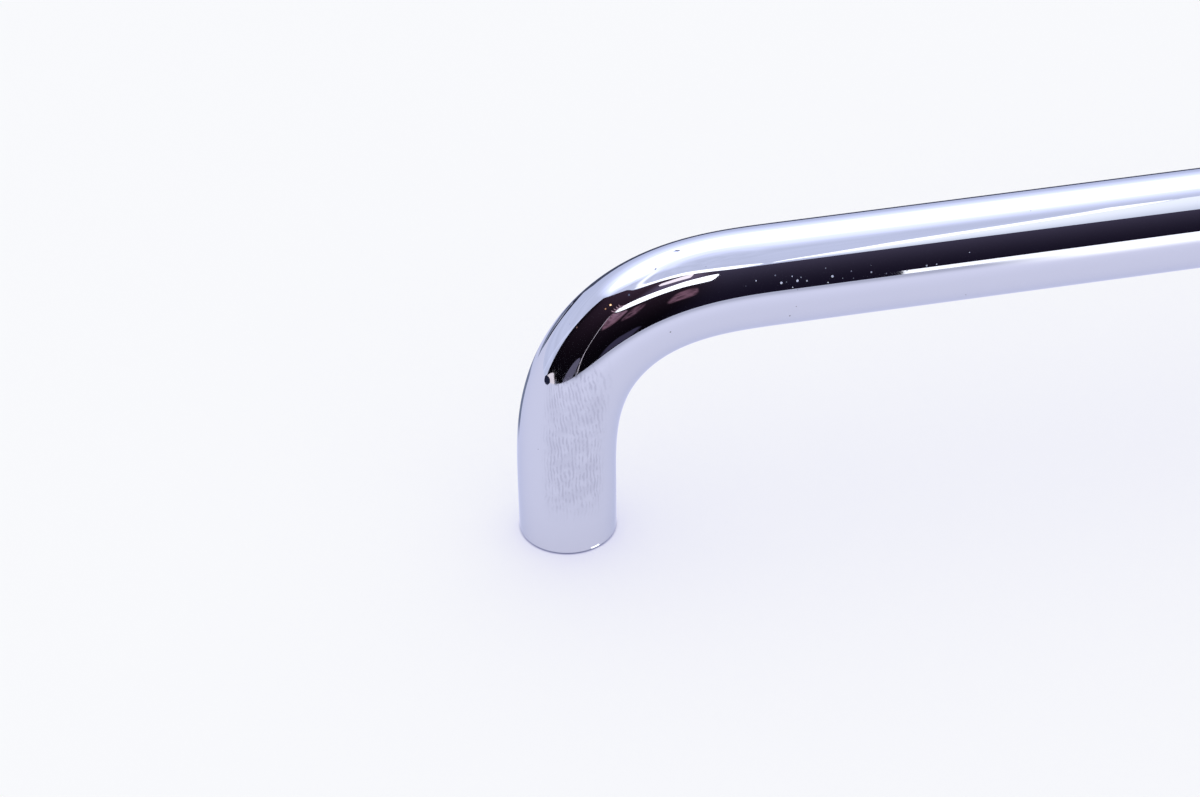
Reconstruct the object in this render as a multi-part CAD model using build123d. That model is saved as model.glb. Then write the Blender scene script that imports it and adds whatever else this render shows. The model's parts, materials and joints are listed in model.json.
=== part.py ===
"""Bridge pull handle: one length of solid round bar, bent down at both ends into two legs.

Each leg ends in a flat foot with a blind tapped hole, so that two screws through a door or
a drawer front hold the handle. Lengths are in millimetres and angles in degrees.

Frame: +X runs along the grip and +Z points away from the panel. The origin lies on the
mounting plane, midway between the two screw holes.
"""

import os
from math import cos, radians, sin, tan

from build123d import *

# The bar and its path
BAR_DIAMETER = 10.0
HOLE_SPACING = 128.0  # between the screw holes, which are on the legs' centrelines
PROJECTION = 32.5  # from the mounting plane to the outside of the grip
BEND_RADIUS = 14.5  # of the centreline, round the middle of each bend
EASE_RADIUS = 50.0  # of the centreline, where the bar eases in and out of a bend
EASE_ANGLE = 9.0  # turned by each easing stretch

# The feet
FOOT_CHAMFER = 0.3
TAP_DRILL_DIAMETER = 3.3  # for an M4 thread
THREAD_DEPTH = 12.0  # from the foot to the end of the full-diameter hole
DRILL_POINT_ANGLE = 118.0
COUNTERSINK_DIAMETER = 4.4
COUNTERSINK_ANGLE = 90.0

RIGHT_ANGLE = 90.0
NODE = "handle_bar"


def bend_reach():
    """How far one bend runs along the leg, which is also how far it runs along the grip."""
    ease = radians(EASE_ANGLE)
    easing = EASE_RADIUS * (1 - cos(ease) + sin(ease))
    middle = BEND_RADIUS * (cos(ease) - sin(ease))
    return easing + middle


def add_bend(start, heading):
    """Adds a quarter turn to the right, eased at both ends, and returns its last arc."""
    middle_angle = RIGHT_ANGLE - 2 * EASE_ANGLE
    ease_in = JernArc(start, heading, EASE_RADIUS, -EASE_ANGLE)
    middle = JernArc(ease_in @ 1, ease_in % 1, BEND_RADIUS, -middle_angle)
    return JernArc(middle @ 1, middle % 1, EASE_RADIUS, -EASE_ANGLE)


def centreline():
    """The bar's path: up one leg, along the grip and down the other leg."""
    foot = HOLE_SPACING / 2
    axis_height = PROJECTION - BAR_DIAMETER / 2
    bend_start = axis_height - bend_reach()
    grip_end = foot - bend_reach()
    with BuildLine(Plane.XZ) as path:
        leg = Line((-foot, 0), (-foot, bend_start))
        bend = add_bend(leg @ 1, leg % 1)
        grip = Line(bend @ 1, (grip_end, axis_height))
        bend = add_bend(grip @ 1, grip % 1)
        Line(bend @ 1, (foot, 0))
    return path.wire()


def tapped_hole():
    """The space that one hole leaves: countersink, tap drill and drill point, mouth at z = 0."""
    drill_radius = TAP_DRILL_DIAMETER / 2
    mouth_radius = COUNTERSINK_DIAMETER / 2
    mouth_depth = (mouth_radius - drill_radius) / tan(radians(COUNTERSINK_ANGLE / 2))
    point_depth = drill_radius / tan(radians(DRILL_POINT_ANGLE / 2))
    with BuildPart() as hole:
        with BuildSketch(Plane.XZ):
            with BuildLine():
                Polyline(
                    (0, 0),
                    (mouth_radius, 0),
                    (drill_radius, mouth_depth),
                    (drill_radius, THREAD_DEPTH),
                    (0, THREAD_DEPTH + point_depth),
                    close=True,
                )
            make_face()
        revolve(axis=Axis.Z)
    return hole.part


def handle_bar():
    """The whole handle, which is one solid."""
    path = centreline()
    with BuildPart() as bar:
        with BuildSketch(Plane(path @ 0, z_dir=path % 0)):
            Circle(BAR_DIAMETER / 2)
        sweep(path=path)
        foot_edges = bar.faces().filter_by(GeomType.PLANE).edges()
        chamfer(foot_edges, length=FOOT_CHAMFER)
        with Locations((-HOLE_SPACING / 2, 0), (HOLE_SPACING / 2, 0)):
            add(tapped_hole(), mode=Mode.SUBTRACT)
    bar.part.label = NODE
    return bar.part


def main():
    os.makedirs("parts", exist_ok=True)
    handle = handle_bar()
    export_step(handle, f"parts/{NODE}.step")
    size = handle.bounding_box().size
    print(f"{NODE}: {size.X:.2f} x {size.Y:.2f} x {size.Z:.2f} mm, {handle.volume:.0f} mm3")


main()
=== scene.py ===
# %% [markdown]
# # A bar handle in mirror-polished chrome
#
# The object is a door or drawer handle: one length of 10 mm round bar, bent down at both ends
# into two legs and chrome plated. Each leg stands on a flat foot with a blind tapped hole, and
# two screws through the door hold it. There is nothing to assemble, so the lesson is about
# three things: a bend whose curvature grows and fades smoothly, a foot that was really turned,
# drilled and tapped, and a mirror finish, which looks like whatever stands around it.
#
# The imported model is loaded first. It says how large the handle is and where its screw holes
# are, and everything below is worked out from that.

# %% Load the frame
import json
from math import atan2, ceil, cos, hypot, pi, radians, sin, tan

import bpy
from mathutils import Matrix, Vector


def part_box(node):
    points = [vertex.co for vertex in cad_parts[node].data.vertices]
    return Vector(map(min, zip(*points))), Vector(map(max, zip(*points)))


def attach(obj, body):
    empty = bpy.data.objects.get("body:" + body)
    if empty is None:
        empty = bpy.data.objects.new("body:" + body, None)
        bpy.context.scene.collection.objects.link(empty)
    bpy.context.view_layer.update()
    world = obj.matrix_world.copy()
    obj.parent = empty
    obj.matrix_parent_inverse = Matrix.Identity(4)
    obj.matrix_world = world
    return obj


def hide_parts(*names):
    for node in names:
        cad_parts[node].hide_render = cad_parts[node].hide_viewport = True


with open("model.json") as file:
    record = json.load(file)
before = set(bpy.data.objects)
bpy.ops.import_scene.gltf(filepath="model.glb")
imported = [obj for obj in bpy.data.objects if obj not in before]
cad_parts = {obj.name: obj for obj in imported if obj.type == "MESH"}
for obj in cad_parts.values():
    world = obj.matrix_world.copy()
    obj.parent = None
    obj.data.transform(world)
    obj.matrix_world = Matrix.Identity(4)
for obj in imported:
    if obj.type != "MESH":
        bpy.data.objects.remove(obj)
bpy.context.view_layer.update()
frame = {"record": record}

# %% [markdown]
# ## Sizes
#
# The holes' places and radii come from the record's mounts and the outer sizes from the node's
# box. What the frame doesn't hold is named here, in metres: how the bend eases in and out, and
# the small forms of the foot.

# %% Sizes of the handle
MM = 0.001
NODE = "handle_bar"
mounts = {mount["name"]: mount for mount in frame["record"]["mounts"]}
lowest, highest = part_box(NODE)
screw_hole = mounts["right_screw_hole"]
FOOT_X = screw_hole["pos_m"][0]
BAR_RADIUS = highest.x - FOOT_X
AXIS_HEIGHT = highest.z - lowest.z - BAR_RADIUS
DRILL_RADIUS = screw_hole["dims"]["r_mm"] * MM
THREAD_TOP = screw_hole["pos_m"][2] + screw_hole["dims"]["length_mm"] * MM / 2

BEND_LENGTH = 36.0 * MM  # of the centreline, from the straight leg to the straight grip
EASE_SHARE = 0.4  # of that length, at either end, over which the curvature grows or fades
BEND_TURNS = 60  # short turns that make up one bend
RING_VERTICES = 96
FOOT_ROUNDING = 0.3 * MM
MOUTH_RADIUS = 2.2 * MM  # of the countersink that leads a screw in
DRILL_POINT_ANGLE = radians(118)
print(f"bar {BAR_RADIUS * 2000:.1f} mm, feet {FOOT_X * 2000:.1f} mm apart")

# %% [markdown]
# ## Working by hand, in code
#
# The handle is modelled with the same operators that a person would use in edit mode. An
# operator acts on whatever is selected, and loading the frame leaves its parts selected, so
# each new piece starts from a clean selection. The helper picks edges or faces by where they
# are.


# %% Selection helpers
def add_alone(primitive, **settings):
    """Adds a primitive with nothing else selected, and returns it in edit mode."""
    bpy.ops.object.select_all(action="DESELECT")
    primitive(**settings)
    bpy.ops.object.mode_set(mode="EDIT")
    return bpy.context.object


def select_where(test, kind):
    """Selects the edges or the faces of the edited mesh that pass the test."""
    bpy.ops.mesh.select_mode(type=kind)
    bpy.ops.mesh.select_all(action="DESELECT")
    bpy.ops.object.mode_set(mode="OBJECT")
    mesh = bpy.context.object.data
    for element in {"EDGE": mesh.edges, "FACE": mesh.polygons}[kind]:
        element.select = test(element)
    bpy.ops.object.mode_set(mode="EDIT")


def near(a, b, tolerance=0.01 * MM):
    return abs(a - b) < tolerance


def axial_distance(point, x=0.0):
    """How far a point lies from a leg's axis, which is upright at this x."""
    return hypot(point.x - x, point.y)


# %% [markdown]
# ## The foot
#
# The end of the bar was faced flat on a lathe, its edge broken, then drilled 3.3 mm, countersunk
# and tapped M4. The same steps work here: a round face is extruded up into a stub of the leg, its
# lower rim is beveled, and the sole is inset twice and pushed up for the countersink and the
# hole. Merging the last ring to its centre gives the cone that the drill's point leaves.


# %% Turn, drill and countersink one foot
def is_round(face):
    """The sole is the only face with more than four corners."""
    return len(face.vertices) > 4


def turn_foot(leg_height):
    """One foot round the axis x = 0: a stub of the leg, open at its top."""
    foot = add_alone(
        bpy.ops.mesh.primitive_circle_add,
        vertices=RING_VERTICES,
        radius=BAR_RADIUS,
        fill_type="NGON",
    )
    foot.name = "foot"

    def on_sole(edge):
        return all(near(foot.data.vertices[v].co.z, 0) for v in edge.vertices)

    bpy.ops.mesh.extrude_region_move(TRANSFORM_OT_translate={"value": (0, 0, leg_height)})
    bpy.ops.mesh.delete(type="ONLY_FACE")
    select_where(on_sole, "EDGE")
    bpy.ops.mesh.edge_face_add()
    select_where(on_sole, "EDGE")
    bpy.ops.mesh.bevel(offset=FOOT_ROUNDING, offset_type="OFFSET", segments=4, profile=0.5)
    select_where(is_round, "FACE")
    bpy.ops.mesh.normals_make_consistent(inside=False)
    return foot


def drill_hole(foot):
    """Countersinks and drills the foot from its sole, and returns where the wall starts."""
    sole_radius = BAR_RADIUS - FOOT_ROUNDING
    mouth_depth = MOUTH_RADIUS - DRILL_RADIUS  # because its wall leans by half a right angle
    select_where(is_round, "FACE")
    bpy.ops.mesh.inset(thickness=sole_radius - MOUTH_RADIUS, depth=0)
    bpy.ops.mesh.inset(thickness=mouth_depth, depth=0)
    bpy.ops.transform.translate(value=(0, 0, mouth_depth))
    wall = THREAD_TOP - mouth_depth
    bpy.ops.mesh.extrude_region_move(TRANSFORM_OT_translate={"value": (0, 0, wall)})
    point = DRILL_RADIUS / tan(DRILL_POINT_ANGLE / 2)
    bpy.ops.mesh.extrude_region_move(TRANSFORM_OT_translate={"value": (0, 0, point)})
    bpy.ops.mesh.merge(type="CENTER")
    return mouth_depth


# %% [markdown]
# ## How far a bend reaches
#
# The foot's stub ends where the bend starts, so the bend is worked out before anything is made.
# It is a chain of short turns of one length. Each turns the bar by its own small angle, which
# grows from nearly nothing at either end to its full size in the middle, and all of them together
# make a right angle.

# %% Turns of one bend, and one foot
to_nearer_end = [min(turn + 0.5, BEND_TURNS - turn - 0.5) / BEND_TURNS for turn in range(BEND_TURNS)]
curving = [min(1, share / EASE_SHARE) for share in to_nearer_end]
TURN_ANGLES = [pi / 2 / sum(curving) * share for share in curving]
TURN_LENGTH = BEND_LENGTH / BEND_TURNS


def bend_reach():
    """How far one bend runs up the leg, which is also how far it runs along the grip."""
    reach, heading = 0.0, 0.0
    for angle in TURN_ANGLES:
        radius = TURN_LENGTH / angle
        reach += radius * (sin(heading + angle) - sin(heading))
        heading += angle
    return reach


LEG_HEIGHT = AXIS_HEIGHT - bend_reach()
left_foot = turn_foot(LEG_HEIGHT)
WALL_START = drill_hole(left_foot)
print(f"straight leg {LEG_HEIGHT * 1000:.2f} mm, hole wall from {WALL_START * 1000:.2f} mm")

# %% [markdown]
# ## The thread
#
# An M4 thread has a pitch of 0.7 mm and its groove is 0.35 mm deep on either side. It is too fine
# to matter to anything that touches the handle, but it shows when the handle is turned over. The
# wall of the hole is cut into many rings, and each vertex then moves outwards by the depth of the
# groove at its own height and angle. The groove climbs one pitch in a turn, so it is a real
# helix, while the rings stay closed. It fades out near both ends, as a tap leaves it.

# %% Tap the hole
PITCH = 0.7 * MM
THREAD_RADIUS = 2.0 * MM
GROOVE_DEPTH = THREAD_RADIUS - DRILL_RADIUS
RINGS_PER_PITCH = 8
RUNOUT = 0.7 * MM  # the length over which the groove fades out
CREST_SHARE = 0.2  # of the pitch that stays at the drilled size
ROOT_SHARE = 0.2  # of the pitch that is cut to the full depth


def groove(phase):
    """How deep the groove is, from 0 to 1, at a phase from 0 to 1 of the pitch."""
    from_middle = abs(phase % 1 - 0.5) * 2
    return max(0.0, min(1.0, (1 - CREST_SHARE - from_middle) / (1 - ROOT_SHARE - CREST_SHARE)))


def tap_hole(foot):
    """Cuts the hole's wall into rings and moves them out to a helical groove."""
    def along_wall(edge):
        low, high = sorted((foot.data.vertices[v].co for v in edge.vertices), key=lambda co: co.z)
        return near(low.z, WALL_START) and near(high.z, THREAD_TOP)

    select_where(along_wall, "EDGE")
    rings = ceil((THREAD_TOP - WALL_START) / PITCH * RINGS_PER_PITCH)
    bpy.ops.mesh.subdivide(number_cuts=rings)
    bpy.ops.object.mode_set(mode="OBJECT")
    for vertex in foot.data.vertices:
        point = vertex.co
        on_wall = near(axial_distance(point), DRILL_RADIUS, 0.02 * MM)
        if not (on_wall and WALL_START <= point.z <= THREAD_TOP):
            continue
        to_end = min(point.z - WALL_START, THREAD_TOP - point.z)
        phase = point.z / PITCH - atan2(point.y, point.x) / (2 * pi)
        out = groove(phase) * GROOVE_DEPTH * min(1, to_end / RUNOUT)
        scale = (DRILL_RADIUS + out) / axial_distance(point)
        vertex.co = (point.x * scale, point.y * scale, point.z)
    return rings


print("rings in the thread:", tap_hole(left_foot))
print("faces of one foot:", len(left_foot.data.polygons))

# %% [markdown]
# ## The bent bar
#
# A bar that is bent round a former doesn't change from straight to round at one line: it springs
# a little, so the bend starts gently, tightens and opens again. Two spins of one radius would
# leave a kink in every reflection. So each bend is a chain of short spins, each with its own
# radius, and the rings run on without a break. The right foot is a copy of the left one: both
# were made on the same lathe, with the same right-hand thread.


# %% Bend the bar
def bend_ring(x, z, heading):
    """Turns the selected ring by a right angle in short spins, and returns its new centre."""
    for angle in TURN_ANGLES:
        radius = TURN_LENGTH / angle
        centre = Vector((x + radius * cos(heading), 0, z - radius * sin(heading)))
        bpy.ops.mesh.spin(steps=1, angle=angle, center=centre, axis=(0, -1, 0))
        heading += angle
        x = centre.x - radius * cos(heading)
        z = centre.z + radius * sin(heading)
    return x, z


def bend_bar():
    """The bar from the top of one straight leg to the top of the other, open at both ends."""
    bar = add_alone(
        bpy.ops.mesh.primitive_circle_add,
        vertices=RING_VERTICES,
        radius=BAR_RADIUS,
        fill_type="NOTHING",
        location=(-FOOT_X, 0, LEG_HEIGHT),
    )
    bar.name = "bridge_pull"
    bpy.ops.object.mode_set(mode="OBJECT")
    bpy.ops.object.transform_apply(location=True)
    bpy.ops.object.mode_set(mode="EDIT")
    bpy.ops.mesh.select_mode(type="EDGE")
    bpy.ops.mesh.select_all(action="SELECT")
    x, z = bend_ring(-FOOT_X, LEG_HEIGHT, heading=0.0)
    print(f"the grip starts at x = {x * 1000:.3f}, z = {z * 1000:.3f} mm")
    bpy.ops.mesh.extrude_region_move(TRANSFORM_OT_translate={"value": (-2 * x, 0, 0)})
    x, z = bend_ring(-x, z, heading=pi / 2)
    print(f"the second bend ends at x = {x * 1000:.3f}, z = {z * 1000:.3f} mm")
    bpy.ops.object.mode_set(mode="OBJECT")
    return bar


handle = bend_bar()

# %% Join the feet to the bar
right_foot = left_foot.copy()
right_foot.data = left_foot.data.copy()
bpy.context.collection.objects.link(right_foot)
for foot, x in ((left_foot, -FOOT_X), (right_foot, FOOT_X)):
    foot.data.transform(Matrix.Translation((x, 0, 0)))

bpy.ops.object.select_all(action="DESELECT")
for piece in (left_foot, right_foot, handle):
    piece.select_set(True)
bpy.context.view_layer.objects.active = handle
bpy.ops.object.join()
bpy.ops.object.mode_set(mode="EDIT")
bpy.ops.mesh.select_all(action="SELECT")
bpy.ops.mesh.remove_doubles(threshold=0.002 * MM)
bpy.ops.mesh.normals_make_consistent(inside=False)
bpy.ops.object.mode_set(mode="OBJECT")
bpy.ops.object.shade_smooth_by_angle(angle=radians(30))
print("faces of the handle:", len(handle.data.polygons))

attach(handle, "root")
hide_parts(NODE)

# %% [markdown]
# ## Shader helpers
#
# A procedural finish is a chain of small sums. These helpers add one node each and link what
# they are given, so that a finish reads like a formula. All patterns are laid out in
# millimetres on Object coordinates, so that they stay on the metal.


# %% Node helpers
def new_material(name):
    """A material with only an output and a Principled shader."""
    material = bpy.data.materials.new(name)
    material.use_nodes = True
    return material, material.node_tree, material.node_tree.nodes["Principled BSDF"]


def put(tree, kind, inputs=None, **settings):
    """Adds a node, sets its options and fills its inputs with values or links."""
    node = tree.nodes.new(kind)
    for name, value in settings.items():
        setattr(node, name, value)
    for name, value in (inputs or {}).items():
        if isinstance(value, bpy.types.NodeSocket):
            tree.links.new(value, node.inputs[name])
        else:
            node.inputs[name].default_value = value
    return node


def sums(tree, operation, *values):
    """One Math node."""
    return put(tree, "ShaderNodeMath", dict(enumerate(values)), operation=operation).outputs[0]


def ramp(tree, value, low, high, to_low=0.0, to_high=1.0):
    """A soft step: to_low where the value is under low, to_high where it is over high."""
    inputs = {"Value": value, "From Min": low, "From Max": high, "To Min": to_low, "To Max": to_high}
    node = put(tree, "ShaderNodeMapRange", inputs, interpolation_type="SMOOTHSTEP")
    return node.outputs["Result"]


def millimetres(tree):
    """Object coordinates in millimetres, whole and split into X, Y and Z."""
    place = put(tree, "ShaderNodeTexCoord").outputs["Object"]
    inputs = {0: place, "Scale": 1 / MM}
    scaled = put(tree, "ShaderNodeVectorMath", inputs, operation="SCALE").outputs["Vector"]
    split = put(tree, "ShaderNodeSeparateXYZ", {0: scaled})
    return scaled, split.outputs["X"], split.outputs["Y"], split.outputs["Z"]


def noise(tree, vector, scale, detail=2.0):
    inputs = {"Vector": vector, "Scale": scale, "Detail": detail}
    return put(tree, "ShaderNodeTexNoise", inputs).outputs["Fac"]


def blend(tree, share, first, second):
    """Mixes two colours."""
    node = put(tree, "ShaderNodeMix", data_type="RGBA")
    for socket, value in zip((node.inputs[0], node.inputs[6], node.inputs[7]), (share, first, second)):
        if isinstance(value, bpy.types.NodeSocket):
            tree.links.new(value, socket)
        else:
            socket.default_value = value
    return node.outputs[2]


# %% [markdown]
# ## Polished chrome
#
# Chrome plate is a nearly perfect mirror with a cool grey tint. The finish is one metallic
# shader with a low roughness, which wanders a little, and a ripple of about a thousandth of a
# millimetre, as plating has over polished steel. What makes it real is what spoils it:
#
# - a thumb print on the front of the left leg, whose ridges of skin oil grey the mirror in fine
#   wavering lines,
# - specks of dust along the grip, which show only where the mirror is dark.
#
# Both are laid out on the bar itself: the print from the angle round the leg and the height, the
# dust from small cells, of which a few hold a speck.


# %% The thumb print
CHROME = (0.604, 0.623, 0.672, 1)
OILED_CHROME = (0.49, 0.503, 0.556, 1)
GRAZING_TINT = (0.76, 0.79, 0.86, 1)  # real chrome hardly brightens towards its outline
CLEAN_ROUGHNESS = 0.025
OILED_ROUGHNESS = 0.11
RIDGE_SPACING = 0.37  # mm, from one ridge of the print to the next
PRINT_ANGLE = -92.0  # degrees round the leg, where the middle of the print lies
PRINT_WIDTH = 88.0  # degrees
PRINT_FOOT, PRINT_TOP = 3.5, 25.0  # mm above the sole
PRINT_FADE = 5.0  # mm, over which the print fades in above its foot
RIDGE_LEAN = 1.6  # mm, how far the ridges lean to one side from LEAN_FOOT to LEAN_TOP
LEAN_FOOT, LEAN_TOP = 12, 26  # mm above the sole
RIDGE_WAVER = 0.9  # mm
HAZE_SHARE = 0.5  # how much oil lies between the ridges


def thumb_print(tree, place, x, y, z):
    """How much skin oil lies on the metal, from 0 to 1."""
    leg_x = sums(tree, "ADD", x, FOOT_X / MM)
    angle = sums(tree, "ARCTAN2", y, leg_x)
    along = sums(tree, "MULTIPLY", angle, BAR_RADIUS / MM)
    lean = sums(tree, "MULTIPLY", ramp(tree, z, LEAN_FOOT, LEAN_TOP), RIDGE_LEAN)
    waver = sums(tree, "MULTIPLY", noise(tree, place, 0.5, 3.0), RIDGE_WAVER)
    phase = sums(tree, "ADD", sums(tree, "ADD", along, lean), waver)
    ridges = sums(tree, "SINE", sums(tree, "MULTIPLY", phase, 2 * pi / RIDGE_SPACING))
    stretched = put(tree, "ShaderNodeVectorMath", {0: place, 1: (1, 1, 0.5)}, operation="MULTIPLY")
    breaks = ramp(tree, noise(tree, stretched.outputs["Vector"], 2.2, 3.0), 0.35, 0.65)
    lines = sums(tree, "MULTIPLY", ramp(tree, ridges, -0.6, 0.8), breaks)
    haze = sums(tree, "MULTIPLY", ramp(tree, noise(tree, place, 0.9, 5.0), 0.3, 0.7), HAZE_SHARE)
    middle = sums(tree, "SUBTRACT", sums(tree, "DEGREES", angle), PRINT_ANGLE)
    across = ramp(tree, sums(tree, "ABSOLUTE", middle), PRINT_WIDTH * 0.24, PRINT_WIDTH / 2, 1, 0)
    height = sums(
        tree, "MULTIPLY",
        ramp(tree, z, PRINT_FOOT, PRINT_FOOT + PRINT_FADE),
        ramp(tree, z, PRINT_TOP - 4, PRINT_TOP, 1, 0),
    )
    pressed = sums(tree, "MULTIPLY", across, height)
    return sums(tree, "MULTIPLY", sums(tree, "ADD", lines, haze), pressed)


# %% The dust
FAINT_DUST, BRIGHT_DUST = (0.09, 0.095, 0.14, 1), (0.56, 0.58, 0.76, 1)
DUST_CELL = 0.5  # mm, the size of a cell that can hold one speck
DUSTY_FROM, DUSTY_TO = -47.0, -27.0  # mm along the grip, where the dust lies thickest
DUSTY_FOOT, DUSTY_TOP = 28.8, 30.8  # mm above the table
DUSTY_SHARE = 0.42  # of the cells there that hold a speck
STRAY_SHARE = 0.006  # of all cells that hold one
SMALLEST_SPECK, SPECK_RANGE = 0.12, 0.17  # in cells


def dust(tree, place, x, z):
    """1 where a speck of dust lies on the metal, 0 elsewhere, and the colour of the speck."""
    cells = put(tree, "ShaderNodeTexVoronoi", {"Vector": place, "Scale": 1 / DUST_CELL})
    chance = put(tree, "ShaderNodeSeparateColor", {0: cells.outputs["Color"]})
    thick = sums(
        tree, "MULTIPLY",
        ramp(tree, x, DUSTY_FROM - 6, DUSTY_FROM + 6), ramp(tree, x, DUSTY_TO - 4, DUSTY_TO + 4, 1, 0),
    )
    height = sums(
        tree, "MULTIPLY",
        ramp(tree, z, DUSTY_FOOT - 0.3, DUSTY_FOOT), ramp(tree, z, DUSTY_TOP - 1.2, DUSTY_TOP, 1, 0),
    )
    share = sums(tree, "MULTIPLY_ADD", sums(tree, "MULTIPLY", thick, height), DUSTY_SHARE, STRAY_SHARE)
    holds = sums(tree, "LESS_THAN", chance.outputs["Red"], share)
    largeness = sums(tree, "POWER", chance.outputs["Green"], 3.0)  # few specks are large
    size = sums(tree, "MULTIPLY_ADD", largeness, SPECK_RANGE, SMALLEST_SPECK)
    speck = sums(tree, "LESS_THAN", cells.outputs["Distance"], size)
    shade = sums(tree, "POWER", chance.outputs["Blue"], 2.0)
    return sums(tree, "MULTIPLY", holds, speck), blend(tree, shade, FAINT_DUST, BRIGHT_DUST)


# %% The chrome finish
RIPPLE_LENGTH = 4.0  # mm
RIPPLE_HEIGHT = 0.6 * MM * MM
ROUGHNESS_RANGE = 0.012  # how much the clean mirror's roughness wanders


def polished_chrome():
    material, tree, shader = new_material("mirror_chrome")
    place, x, y, z = millimetres(tree)
    shader.inputs["Specular Tint"].default_value = GRAZING_TINT
    oil = thumb_print(tree, place, x, y, z)
    specks, speck_colour = dust(tree, place, x, z)
    colour = blend(tree, oil, CHROME, OILED_CHROME)
    tree.links.new(blend(tree, specks, colour, speck_colour), shader.inputs["Base Color"])
    tree.links.new(sums(tree, "SUBTRACT", 1.0, specks), shader.inputs["Metallic"])
    lowest_roughness = CLEAN_ROUGHNESS - ROUGHNESS_RANGE / 2
    wander = sums(tree, "MULTIPLY_ADD", noise(tree, place, 0.2, 4.0), ROUGHNESS_RANGE, lowest_roughness)
    oiled = sums(tree, "MULTIPLY_ADD", oil, OILED_ROUGHNESS - CLEAN_ROUGHNESS, wander)
    tree.links.new(sums(tree, "ADD", oiled, specks), shader.inputs["Roughness"])
    ripple = put(tree, "ShaderNodeBump", {
        "Height": noise(tree, place, 1 / RIPPLE_LENGTH), "Distance": RIPPLE_HEIGHT, "Strength": 1.0,
    })
    tree.links.new(ripple.outputs["Normal"], shader.inputs["Normal"])
    return material


handle.data.materials.append(polished_chrome())

# %% [markdown]
# ## Bare steel underneath
#
# The sole was faced on a lathe, so it carries fine rings round the leg's axis. The hole was
# drilled and tapped after the plating, so its wall is plain cut steel, a little darker and
# duller. The distance from the nearer leg's axis gives both patterns.

# %% Sole and thread
SOLE_STEEL = (0.44, 0.44, 0.46, 1)
SOLE_GROOVE = (0.33, 0.33, 0.35, 1)
CUT_STEEL = (0.30, 0.29, 0.28, 1)
OILY_STEEL = (0.17, 0.16, 0.15, 1)
LATHE_FEED = 0.12  # mm from one turning ring to the next


def from_leg_axis(tree, x, y):
    leg_x = sums(tree, "SUBTRACT", sums(tree, "ABSOLUTE", x), FOOT_X / MM)
    squares = sums(tree, "MULTIPLY_ADD", leg_x, leg_x, sums(tree, "MULTIPLY", y, y))
    return sums(tree, "SQRT", squares)


def turned_sole():
    material, tree, shader = new_material("turned_sole")
    place, x, y, _ = millimetres(tree)
    turns = sums(tree, "MULTIPLY", from_leg_axis(tree, x, y), 2 * pi / LATHE_FEED)
    rings = sums(tree, "MULTIPLY_ADD", sums(tree, "SINE", turns), 0.5, 0.5)
    worn = sums(tree, "MULTIPLY", rings, noise(tree, place, 0.8, 4.0))
    tree.links.new(blend(tree, worn, SOLE_STEEL, SOLE_GROOVE), shader.inputs["Base Color"])
    tree.links.new(sums(tree, "MULTIPLY_ADD", worn, 0.25, 0.28), shader.inputs["Roughness"])
    shader.inputs["Metallic"].default_value = 1.0
    return material


def cut_steel():
    material, tree, shader = new_material("cut_steel")
    place, _, _, _ = millimetres(tree)
    streaks = noise(tree, place, 2.5, 4.0)
    tree.links.new(blend(tree, streaks, CUT_STEEL, OILY_STEEL), shader.inputs["Base Color"])
    tree.links.new(sums(tree, "MULTIPLY_ADD", streaks, 0.3, 0.25), shader.inputs["Roughness"])
    shader.inputs["Metallic"].default_value = 1.0
    return material


handle.data.materials.append(turned_sole())
handle.data.materials.append(cut_steel())
SOLE, HOLE = 1, 2  # the finishes' places in the handle's list
for face in handle.data.polygons:
    centre = face.center
    from_axis = axial_distance(centre, FOOT_X if centre.x > 0 else -FOOT_X)
    if centre.z < THREAD_TOP + MOUTH_RADIUS and from_axis < MOUTH_RADIUS:
        face.material_index = HOLE
    elif near(centre.z, 0):
        face.material_index = SOLE
print("steel faces:", sum(face.material_index > 0 for face in handle.data.polygons))

# %% [markdown]
# ## Shader for things that only glow
#
# A mirror shows its surroundings, so most of the work on this handle goes into what stands round
# it. Nothing there needs a lit surface: every card is a sheet that glows with one colour at its
# foot and another at its top. A card's UV map runs from 0 to 1 both ways, which gives the height
# for the two colours and the distance from the edge for soft sides and soft ends. A noise can
# thin the card in patches too.


# %% Glowing material
def glowing(name, low_colour, high_colour, soft_sides, soft_ends, patches=0.0):
    material, tree, shader = new_material(name)
    place = put(tree, "ShaderNodeTexCoord").outputs["UV"]
    across, up, _ = put(tree, "ShaderNodeSeparateXYZ", {0: place}).outputs
    shader.inputs["Base Color"].default_value = (0, 0, 0, 1)
    shader.inputs["Roughness"].default_value = 1.0
    shader.inputs["Specular IOR Level"].default_value = 0.0
    shader.inputs["Emission Strength"].default_value = 1.0
    if low_colour == high_colour:
        shader.inputs["Emission Color"].default_value = (*low_colour, 1)
    else:
        colour = blend(tree, sums(tree, "MULTIPLY", up, up), (*low_colour, 1), (*high_colour, 1))
        tree.links.new(colour, shader.inputs["Emission Color"])
    covers = [
        ramp(tree, sums(tree, "PINGPONG", way, 0.5), 0.0, soft)
        for way, soft in ((across, soft_sides), (up, soft_ends)) if soft
    ]
    if patches:
        spots = put(tree, "ShaderNodeVectorMath", {0: place, 1: (4, 9, 1)}, operation="MULTIPLY")
        cloudy = noise(tree, spots.outputs["Vector"], 1.0, 3.0)
        covers.append(ramp(tree, cloudy, 0.35, 0.6, 1 - patches, 1.0))
    if covers:
        cover = covers[0]
        for other in covers[1:] or covers:  # a lone cover is squared, which softens it
            cover = sums(tree, "MULTIPLY", cover, other)
        tree.links.new(cover, shader.inputs["Alpha"])
    return material


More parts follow.
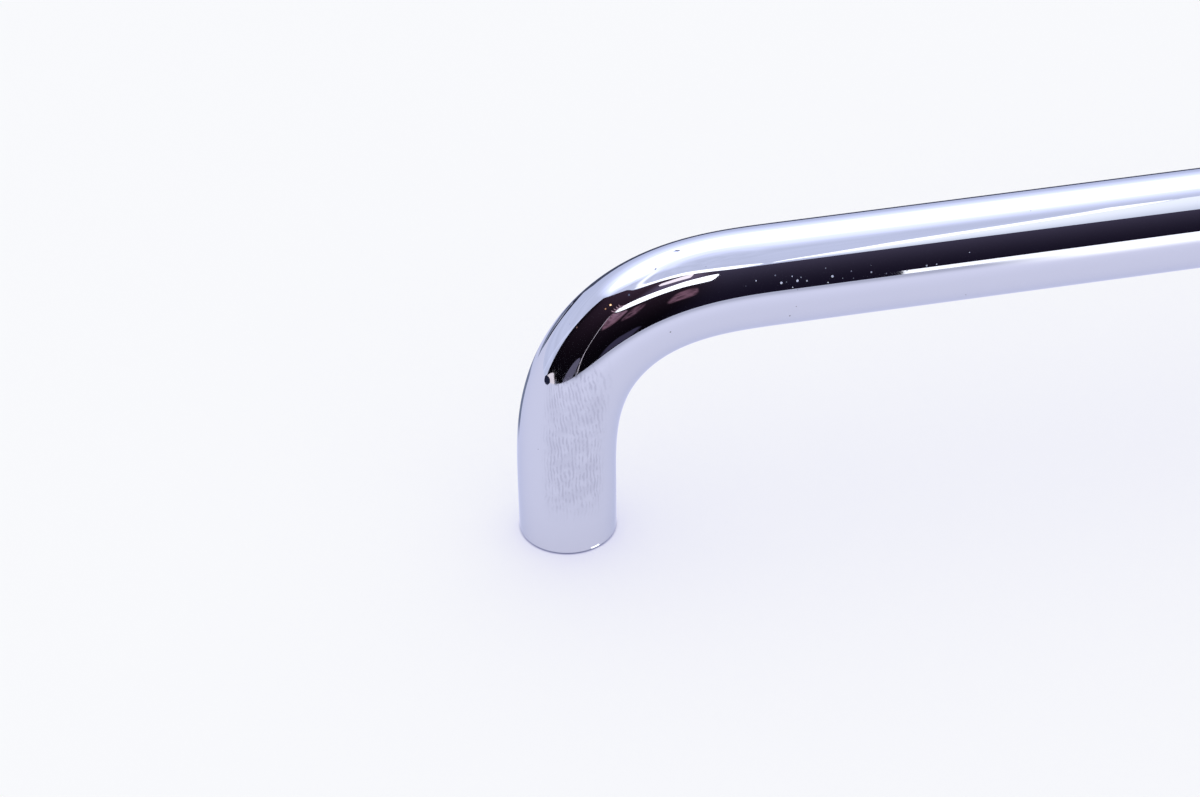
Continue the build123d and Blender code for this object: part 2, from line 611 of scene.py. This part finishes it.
# %% [markdown]
# ## Floor
#
# The handle stands on a plain pale table. Its colour for the camera and for reflections is partly
# its own and partly a glow, which lifts the shadow under the handle to the faint one that a light
# tent gives. Mirrors see a smaller table instead, just above the floor. Its glow is painted darker
# towards its front edge, where the tent is open, and a little near the handle: painted shade. Both
# have a thin painted shadow round each foot.

# %% Floor
FLOOR_COLOUR = (0.95, 0.93, 0.27)  # warm, so that what the floor loses in a shadow leaves it blue
FLOOR_GLOW = (1.16, 1.137, 2.92)
TABLE_COLOUR = (0.80, 0.82, 0.85)
TABLE_GLOW = (1.21, 1.17, 1.387)
# painted shadow: the dark blue-grey that the floor turns in a thin ring round each foot
FOOT_SHADOW_COLOUR = (0.25, 0.27, 0.40, 1)
FLOOR_RADIUS = 2.5
TABLE_RADIUS = 0.30
FLOOR_HEIGHT = -0.02 * MM
TABLE_HEIGHT = -0.01 * MM
# painted shade: the table's glow dims towards its front edge, where the tent is open, and a little from
# NEAR_BAR back over the handle
TABLE_FRONT, TABLE_MIDDLE = -190, -80  # mm, between which the table grows brighter
NEAR_BAR = -25  # mm, where the table is a little dimmer again
# the painted shadow round each foot reaches this far
CONTACT_SHADE = 0.45  # mm, how far the dark line round a foot reaches


def pale_floor(name, colour, glow, share, front_shade_level=1.0, bar_shade_level=1.0):
    """A matt floor that glows a little to the camera and to mirrors, dimmed by painted shade to these
    levels in places.
    """
    material, tree, shader = new_material(name)
    light_path = put(tree, "ShaderNodeLightPath").outputs
    seen = sums(tree, "MAXIMUM", light_path["Is Camera Ray"], light_path["Is Glossy Ray"])
    seen = sums(tree, "MAXIMUM", seen, light_path["Is Transmission Ray"])
    glow_share = sums(tree, "MULTIPLY", seen, share)
    _, x, y, _ = millimetres(tree)
    foot_edge = (BAR_RADIUS - FOOT_ROUNDING) / MM
    # painted shadow round each foot, and painted shade that dims the glow towards the front and near the
    # handle
    foot_shadow = ramp(tree, from_leg_axis(tree, x, y), foot_edge, foot_edge + CONTACT_SHADE)
    bar_shade = ramp(tree, y, TABLE_MIDDLE, NEAR_BAR, 1.0, bar_shade_level)
    front_shade = ramp(tree, y, TABLE_FRONT, TABLE_MIDDLE, front_shade_level, 1.0)
    level = sums(tree, "MULTIPLY", sums(tree, "MULTIPLY", front_shade, bar_shade), foot_shadow)
    own = blend(tree, glow_share, (*colour, 1), (0, 0, 0, 1))
    tree.links.new(blend(tree, foot_shadow, FOOT_SHADOW_COLOUR, own), shader.inputs["Base Color"])
    shader.inputs["Emission Color"].default_value = (*glow, 1)
    tree.links.new(sums(tree, "MULTIPLY", glow_share, level), shader.inputs["Emission Strength"])
    shader.inputs["Roughness"].default_value = 0.9
    shader.inputs["Specular IOR Level"].default_value = 0.0
    return material


def lay_disc(name, radius, height, material):
    bpy.ops.object.select_all(action="DESELECT")
    bpy.ops.mesh.primitive_circle_add(
        vertices=96, radius=radius, fill_type="NGON", location=(0, 0, height)
    )
    disc = bpy.context.object
    bpy.ops.object.transform_apply(location=True)
    disc.name = name
    disc.data.materials.append(material)
    return disc


def only_in_mirrors(thing):
    """Leaves a stage piece to reflections alone: it lights nothing and shades nothing."""
    thing.visible_camera = False
    thing.visible_diffuse = False
    thing.visible_shadow = False


floor_look = pale_floor("pale_floor", FLOOR_COLOUR, FLOOR_GLOW, 0.25)
floor = lay_disc("floor", FLOOR_RADIUS, FLOOR_HEIGHT, floor_look)
floor.visible_glossy = False
table_look = pale_floor("pale_table", TABLE_COLOUR, TABLE_GLOW, 0.6, front_shade_level=0.5, bar_shade_level=0.9)
only_in_mirrors(lay_disc("table_top", TABLE_RADIUS, TABLE_HEIGHT, table_look))
print("floor", 2 * FLOOR_RADIUS, "m across, table", 2 * TABLE_RADIUS, "m across")

# %% [markdown]
# ## The light tent
#
# The handle stands in a small tent of white cloth, lit from outside. The cloth glows a faint
# lavender all round, and the lamp behind makes its back wall and its left shoulder much brighter.
# This is the world's background: it has no hard edges, and a direction is all that it needs. The
# heading is 0 straight behind the handle, negative to the left. Only mirrors see the tent. The
# matt floor gets an even soft light of the same colour, and the camera sees a plain pale
# background.

# %% World
TENT_COLOUR = (0.83, 0.87, 1.12)
PLAIN_BACKGROUND = (0.93, 0.94, 0.985)
SOFT_LIGHT = (0.92, 0.96, 1.23)  # what the matt table gets, the same from all sides
LAMP_GAIN = 1.2  # how much brighter than the cloth the lit back is
CORE_GAIN = 0.8  # and its middle on top of that
LEFT_FADE, RIGHT_FADE = (-75, -45), (45, 100)  # degrees, the headings where the lit back fades
FOOT_ELEVATION, FOOT_RISE = -3.0, 0.7  # degrees: where it starts, and its rise to the left
FULL_ELEVATION = 44  # degrees, from where it is at its brightest
ROOF_FADE = (84, 56)  # degrees, from the dark top down to the lit back

world = bpy.data.worlds.new("light_tent")
bpy.context.scene.world = world
world.use_nodes = True


def straight_ramp(tree, value, low, high):
    inputs = {"Value": value, "From Min": low, "From Max": high}
    return put(tree, "ShaderNodeMapRange", inputs).outputs["Result"]


def tent_light():
    tree = world.node_tree
    way = put(tree, "ShaderNodeTexCoord").outputs["Generated"]
    x, y, z = put(tree, "ShaderNodeSeparateXYZ", {0: way}).outputs
    heading = sums(tree, "DEGREES", sums(tree, "ARCTAN2", x, y))
    elevation = sums(tree, "DEGREES", sums(tree, "ARCSINE", z))
    left = sums(tree, "MAXIMUM", sums(tree, "MULTIPLY", heading, -1.0), 0.0)
    lower_edge = sums(tree, "MULTIPLY_ADD", left, FOOT_RISE, FOOT_ELEVATION)
    rise = ramp(tree, elevation, lower_edge, FULL_ELEVATION)
    fall = straight_ramp(tree, elevation, *ROOF_FADE)
    sides = sums(
        tree, "MULTIPLY", ramp(tree, heading, *LEFT_FADE), ramp(tree, heading, *RIGHT_FADE, 1.0, 0.0)
    )
    hump = sums(tree, "MULTIPLY", sums(tree, "MINIMUM", rise, fall), sides)
    core = sums(tree, "MULTIPLY", ramp(tree, hump, 0.6, 1.0), CORE_GAIN)
    glow = sums(tree, "MULTIPLY_ADD", hump, LAMP_GAIN, core)
    folds = put(tree, "ShaderNodeCombineXYZ", {
        "X": sums(tree, "MULTIPLY", heading, 0.02), "Y": sums(tree, "MULTIPLY", elevation, 0.22),
    }).outputs[0]
    cloth = ramp(tree, noise(tree, folds, 1.0, 3.0), 0.3, 0.7, 0.95, 1.05)
    strength = sums(tree, "MULTIPLY", sums(tree, "ADD", glow, 1.0), cloth)
    background = tree.nodes["Background"]
    background.inputs["Color"].default_value = (*TENT_COLOUR, 1)
    tree.links.new(strength, background.inputs["Strength"])
    light_path = put(tree, "ShaderNodeLightPath").outputs
    mirrored = sums(tree, "MAXIMUM", light_path["Is Glossy Ray"], light_path["Is Transmission Ray"])
    surround = put(tree, "ShaderNodeBackground", {"Color": (*SOFT_LIGHT, 1)}).outputs[0]
    plain = put(tree, "ShaderNodeBackground", {"Color": (*PLAIN_BACKGROUND, 1)}).outputs[0]
    for share, shader in ((mirrored, background.outputs[0]), (light_path["Is Camera Ray"], plain)):
        choice = put(tree, "ShaderNodeMixShader", {0: share})
        tree.links.new(surround, choice.inputs[1])
        tree.links.new(shader, choice.inputs[2])
        surround = choice.outputs[0]
    tree.links.new(surround, tree.nodes["World Output"].inputs["Surface"])


tent_light()
print("nodes in the tent's light:", len(world.node_tree.nodes))

# %% [markdown]
# ## Panels round the tent
#
# The tent is open to the front, and through the opening the handle sees a dark room. What stands
# there has sharp edges, so each thing is a curved panel. A panel is a grid primitive, laid on a
# sphere round the left bend. It is described by a few columns: a heading, and the elevations of
# the panel's foot and top there, all in degrees. Between the columns the outline runs smoothly,
# with slopes that never overshoot. Nearer panels hide the ones behind.

# %% Panels
VIEWPOINT = Vector((-FOOT_X, 0, 24 * MM))
PANEL_ROWS = 8
STEPS = 5  # grid columns from one described column to the next


def slopes(headings, values):
    """Slopes at the columns: the mean of both sides, or level where the outline turns back."""
    sides = [(b - a) / (hb - ha) for a, b, ha, hb in
             zip(values, values[1:], headings, headings[1:])]
    inner = [2 * a * b / (a + b) if a * b > 0 else 0.0 for a, b in zip(sides, sides[1:])]
    return [sides[0], *inner, sides[-1]]


def smooth_outline(columns):
    """The described columns with smooth ones between them."""
    headings, feet, tops = zip(*columns)
    outline = []
    for line in (feet, tops):
        slope = slopes(headings, line)
        run = []
        for i, width in enumerate(b - a for a, b in zip(headings, headings[1:])):
            for step in range(STEPS):
                t = step / STEPS
                run.append(
                    line[i] + (line[i + 1] - line[i]) * t * t * (3 - 2 * t)
                    + width * t * (1 - t) * (slope[i] * (1 - t) - slope[i + 1] * t)
                )
        outline.append([*run, line[-1]])
    fine = [a + (b - a) * step / STEPS for a, b in zip(headings, headings[1:]) for step in range(STEPS)]
    return list(zip([*fine, headings[-1]], *outline))


def on_sphere(heading, elevation, distance):
    a, e = radians(heading), radians(elevation)
    return VIEWPOINT + Vector((sin(a) * cos(e), cos(a) * cos(e), sin(e))) * distance


def panel(name, distance, columns, low, high=None, soft_sides=0.0, soft_ends=0.0, patches=0.0):
    """A glowing curved card at this distance, with these columns and colours."""
    outline = smooth_outline(columns)
    bpy.ops.object.select_all(action="DESELECT")
    bpy.ops.mesh.primitive_grid_add(x_subdivisions=len(outline) - 1, y_subdivisions=PANEL_ROWS)
    made = bpy.context.object
    made.name = name
    for vertex in made.data.vertices:
        heading, foot, top = outline[round((vertex.co.x + 1) / 2 * (len(outline) - 1))]
        elevation = foot + (top - foot) * (vertex.co.y + 1) / 2
        vertex.co = on_sphere(heading, elevation, distance)
    made.data.materials.append(glowing(name, low, high or low, soft_sides, soft_ends, patches))
    only_in_mirrors(made)


# %% [markdown]
# ## The room beyond the opening
#
# The largest panel is the opening itself, nearly black, with a slate-coloured wall on its left
# and a plum ceiling. Two strips of daylight cross the ceiling; the lower one frays out into thin
# rosy streaks. Soft warm patches, a pale cord and two round grey forms stand in the dark, and two
# small amber lamps.

# %% The dark opening
OPENING = [
    (128, -5, 38), (140, -5, 46), (151, -5, 53.5), (161, -5, 56.5), (170, -5, 60.5),
    (180, -5, 65.3), (190, -5, 68), (215, -5, 70), (240, -5, 67), (260, -5, 60),
    (278, -5, 56.5), (284.5, 12, 52), (290.5, 26.5, 47), (298, 39.5, 40.5),
]
panel("dark_room", 6.0, OPENING, (0.003, 0.002, 0.004), (0.055, 0.03, 0.05))
panel("slate_wall", 5.5, [(110, -5, 20), *OPENING[:7]],
      (0.012, 0.009, 0.022), (0.072, 0.06, 0.103), soft_sides=0.28)
panel("plum_ceiling", 5.2, [(174, 56, 60.5), (182, 56, 65), (195, 54, 68), (215, 51, 68), (234, 46, 66)],
      (0.15, 0.113, 0.19), (0.2, 0.16, 0.24), soft_sides=0.35, soft_ends=0.1)

# %% Daylight on the ceiling
DAYLIGHT = (2.4, 2.4, 2.5)
ROSY = (0.67, 0.42, 0.52)
STREAKS = 4

panel("ceiling_strip", 4.6, [(173.3, 52.5, 55), (176.8, 44, 56), (190, 46, 56.3), (200, 45.5, 55),
      (220, 42.3, 51.3), (234, 40, 46.5), (239, 40.5, 43)], DAYLIGHT)
panel("second_strip", 4.6, [(190.3, 63, 68), (191, 61.8, 68.5), (200, 61.5, 68.3), (210, 61, 67),
      (217, 60.8, 65.5), (222, 62.5, 64.5)], (1.6, 1.4, 1.5))
for streak in range(STREAKS):
    start, end = 40.6 + 1.5 * streak, 42.6 + 1.7 * streak
    panel(f"rosy_streak_{streak}", 4.5, [(230, start + 1, start + 2), (240, start, start + 0.8),
          (251, end, end + 0.4)], ROSY, soft_sides=0.3, soft_ends=0.3)

# %% Warm patches
WARM_DARK, WARM, WARM_PINK = (0.20, 0.10, 0.145), (0.27, 0.135, 0.19), (0.46, 0.27, 0.37)

panel("warm_left", 4.4, [(178.5, 22, 26), (181, 20, 38), (186, 20, 40.5), (190.5, 27, 37)],
      WARM, soft_sides=0.25, soft_ends=0.2, patches=0.6)
panel("warm_middle", 4.4, [(204, 28, 35), (208, 25, 40), (213, 25, 41), (218, 29, 38)],
      WARM_DARK, soft_sides=0.3, soft_ends=0.2, patches=0.8)
panel("warm_right", 4.4, [(218.5, 30, 37), (223, 25.5, 39.5), (229, 24, 40), (235, 28, 40),
      (242, 37, 40)], WARM, WARM_PINK, soft_sides=0.2, soft_ends=0.15, patches=0.5)

# %% Cord, round forms and lamps
panel("pale_cord", 3.9, [(222, -4.6, -3.4), (226, 1.2, 2.8), (230, 9.1, 10.9), (233, 19.1, 20.9),
      (236, 27.1, 28.9), (240, 37.3, 38.7)], (0.82, 0.74, 0.83))
panel("grey_left", 4.4, [(188, -5, 2), (193, -5, 6), (200, -5, 6), (206, -5, 1)],
      (0.053, 0.046, 0.0886), soft_sides=0.2, soft_ends=0.2)
panel("grey_round", 4.4, [(227.3, -5, 0), (230, -5, 6), (234, -5, 8), (238, -5, 6),
      (241, -5, 0)], (0.162, 0.149, 0.223))
panel("amber_lamp", 4.0, [(261, 45.4, 46), (265, 45.1, 46.4), (269, 45.5, 46.1)],
      (3.2, 1.9, 1.0), soft_sides=0.3, soft_ends=0.3)
panel("amber_lamp_low", 4.0, [(262.5, 42.2, 42.9), (267.5, 42.1, 42.9)],
      (1.4, 0.7, 0.35), soft_sides=0.3, soft_ends=0.3)
panel("far_spark", 4.0, [(281, 24, 24.4), (284.5, 24, 24.4)], (0.9, 0.5, 0.4), soft_sides=0.3)

# %% [markdown]
# ## The tent's own edges
#
# The rim of the opening catches the lamp and shows as a white arc over the dark. To the right it
# runs on as a thin seam with a pale lip of cloth below it, and to the left as a broad soft
# shoulder, with a thin stitched line going down behind it.

# %% Rim, seam and shoulder
RIM_WHITE = (2.2, 2.2, 2.3)

panel("tent_rim", 4.8, [(155.5, 58.8, 59.6), (158, 57.8, 62), (163, 58, 65), (174, 63, 69.3),
      (190, 67.8, 73.3), (210, 69.8, 75), (230, 68.8, 73.6), (250, 64.2, 68.8),
      (266, 59.8, 64)], RIM_WHITE)
panel("tent_shoulder", 4.7, [(255, 60, 66.5), (272, 60, 66.5), (285, 61, 69), (300, 63, 70.5),
      (322, 63.5, 69.5)], (1.75, 1.8, 1.95), soft_sides=0.2, soft_ends=0.5)
panel("tent_seam", 4.8, [(100, 66.8, 68.3), (113, 66, 67.8), (125, 64.8, 67), (135, 63, 65.7),
      (143, 60.8, 63.2), (149, 59, 60.7), (154.5, 57.3, 58)], (2.0, 2.0, 2.1))
panel("tent_lip", 6.5, [(100, 20, 66.8), (113, 30, 66), (125, 36, 64.8), (135, 42, 63),
      (143, 47, 60.8), (152, 53, 59)], (0.95, 1.0, 1.18), (1.44, 1.48, 1.6))
panel("stitch_top", 4.6, [(318, 63.6, 64.6), (326, 60.6, 61.6)], (0.25, 0.26, 0.36), soft_sides=0.2)
panel("stitch_line", 4.6, [(328, 60, 60.4), (340, 53.8, 54.2), (348, 47.8, 48.2), (353, 41.8, 42.2)],
      (0.75, 0.78, 0.95))
panel("stitch_low", 4.6, [(355, 36, 43), (358, 33, 39)], (0.3, 0.31, 0.42), soft_sides=0.3)

# %% [markdown]
# ## Things close to the handle
#
# A few things stand or lie close by, where they show only in the mirror: a white hem along the
# table's front edge, a glowing card that lies before it as painted light on the table, and a dark
# strip, a grey patch and a dark arch with a grey post behind the handle, which draw a thin dark
# line along its outline. A tiny glowing card at the foot is a painted glint, and a dark oval with
# a pale bump beyond it stands on the left. A grey card on the right is there for the sides that
# the main view doesn't show.

# %% Close cards
HEM_AND_LIT_TABLE_WHITE = (1.75, 1.75, 1.85)
PAINTED_LIGHT_HEIGHT, PATCH_HEIGHT = -0.004 * MM, -0.003 * MM
STRIP_Y = 45 * MM  # behind the handle
STRIP_FOOT, STRIP_TOP = 8 * MM, 26 * MM


def flat_card(name, corners, colour, soft_sides=0.0, soft_ends=0.0):
    """A plane with its corners set: front left, front right, back left, back right."""
    bpy.ops.object.select_all(action="DESELECT")
    bpy.ops.mesh.primitive_plane_add()
    card = bpy.context.object
    card.name = name
    for vertex, corner in zip(card.data.vertices, corners):
        vertex.co = corner
    card.data.materials.append(glowing(name, colour, colour, soft_sides, soft_ends))
    only_in_mirrors(card)


panel("white_hem", TABLE_RADIUS, [(105, -3.4, 4.2), (130, -3.4, 4.2), (157.9, -3.4, 4.2)], HEM_AND_LIT_TABLE_WHITE)
# painted light: a glowing card over the table's front, which makes the table brighter there in mirrors
flat_card("painted_table_light", [(0.245, -0.9, PAINTED_LIGHT_HEIGHT), (0.9, -0.9, PAINTED_LIGHT_HEIGHT),
          (-0.004, -0.0575, PAINTED_LIGHT_HEIGHT), (0.4, -0.0575, PAINTED_LIGHT_HEIGHT)],
          HEM_AND_LIT_TABLE_WHITE, soft_sides=0.05, soft_ends=0.07)
flat_card("dark_strip", [(-0.070, STRIP_Y, STRIP_FOOT), (0.16, STRIP_Y, STRIP_FOOT),
          (-0.070, STRIP_Y, STRIP_TOP), (0.16, STRIP_Y, STRIP_TOP)], (0.1, 0.11, 0.16))
flat_card("grey_patch", [(-0.075, 0.013, PATCH_HEIGHT), (-0.066, 0.013, PATCH_HEIGHT),
          (-0.087, STRIP_Y, PATCH_HEIGHT), (-0.066, STRIP_Y, PATCH_HEIGHT)],
          (0.28, 0.31, 0.42), soft_ends=0.25)
panel("dark_arch", 0.07, [(328.5, -15, -9), (333, -12.5, -4), (340, -8.5, -1.5), (348, -10, -3.5),
      (356, -15.5, -8.5), (364, -22.5, -15.5), (371, -29, -23)], (0.02, 0.02, 0.045), soft_ends=0.15)
panel("grey_post", 0.075, [(328, -36, -14), (333, -36, -11), (346, -36, -9), (356, -36, -18)],
      (0.30, 0.33, 0.44), soft_sides=0.12)
# painted glint: a tiny glowing card at the left foot, seen only in mirrors, which puts a white spark on
# the foot's rounded edge
GLINT_ENDS = radians(-72), radians(-60)  # round the left leg
GLINT_REACHES = 5.32 * MM, 5.1 * MM  # from the leg's axis
glint_corners = [(-FOOT_X + reach * cos(end), reach * sin(end), PATCH_HEIGHT)
                 for reach in GLINT_REACHES for end in GLINT_ENDS]
flat_card("painted_foot_glint", glint_corners, (3.0, 3.0, 3.0))
panel("dark_oval", 0.15, [(264.5, -6.3, -6.1), (268, -7.9, -4.7), (273.5, -8.2, -4.3),
      (279, -7.9, -4.7), (282, -6.3, -6.1)], (0.02, 0.022, 0.05))
panel("pale_bump", 0.29, [(255, -7, -5), (262, -7, -2), (267, -7, -0.5), (272, -7, -1.5),
      (277, -7, -3.5), (280, -7, -5)], (1.2, 1.08, 1.15))
panel("side_card", 5.0, [(62, 5, 45), (80, 5, 50), (95, 5, 45), (110, 5, 35)], (0.16, 0.17, 0.22),
      (0.3, 0.31, 0.38), soft_sides=0.1, soft_ends=0.1)

# %% [markdown]
# ## Camera
#
# The camera looks down on the left leg from the front and a little from its left, so that the leg
# and its bend fill the middle and the grip runs out of the picture on the right.

# %% Camera
EYE = Vector((-0.1037549, -0.2073059, 0.1706843))
HEADING = radians(11.796)  # to the right of straight ahead
DOWN = radians(36.264)
ROLL = radians(-0.831)
LENS, SENSOR_WIDTH = 79.21, 36  # mm

bpy.ops.object.camera_add(location=EYE)
camera = bpy.context.object
turn = Matrix.Rotation(-HEADING, 3, "Z") @ Matrix.Rotation(pi / 2 - DOWN, 3, "X")
camera.rotation_euler = (turn @ Matrix.Rotation(ROLL, 3, "Z")).to_euler()
camera.data.lens = LENS
camera.data.sensor_width = SENSOR_WIDTH
camera.data.clip_start = 0.01
camera.data.clip_end = 20
bpy.context.scene.camera = camera

bpy.context.scene.view_settings.view_transform = "Standard"
print(f"camera {EYE.length * 1000:.0f} mm from the origin, lens {LENS} mm")
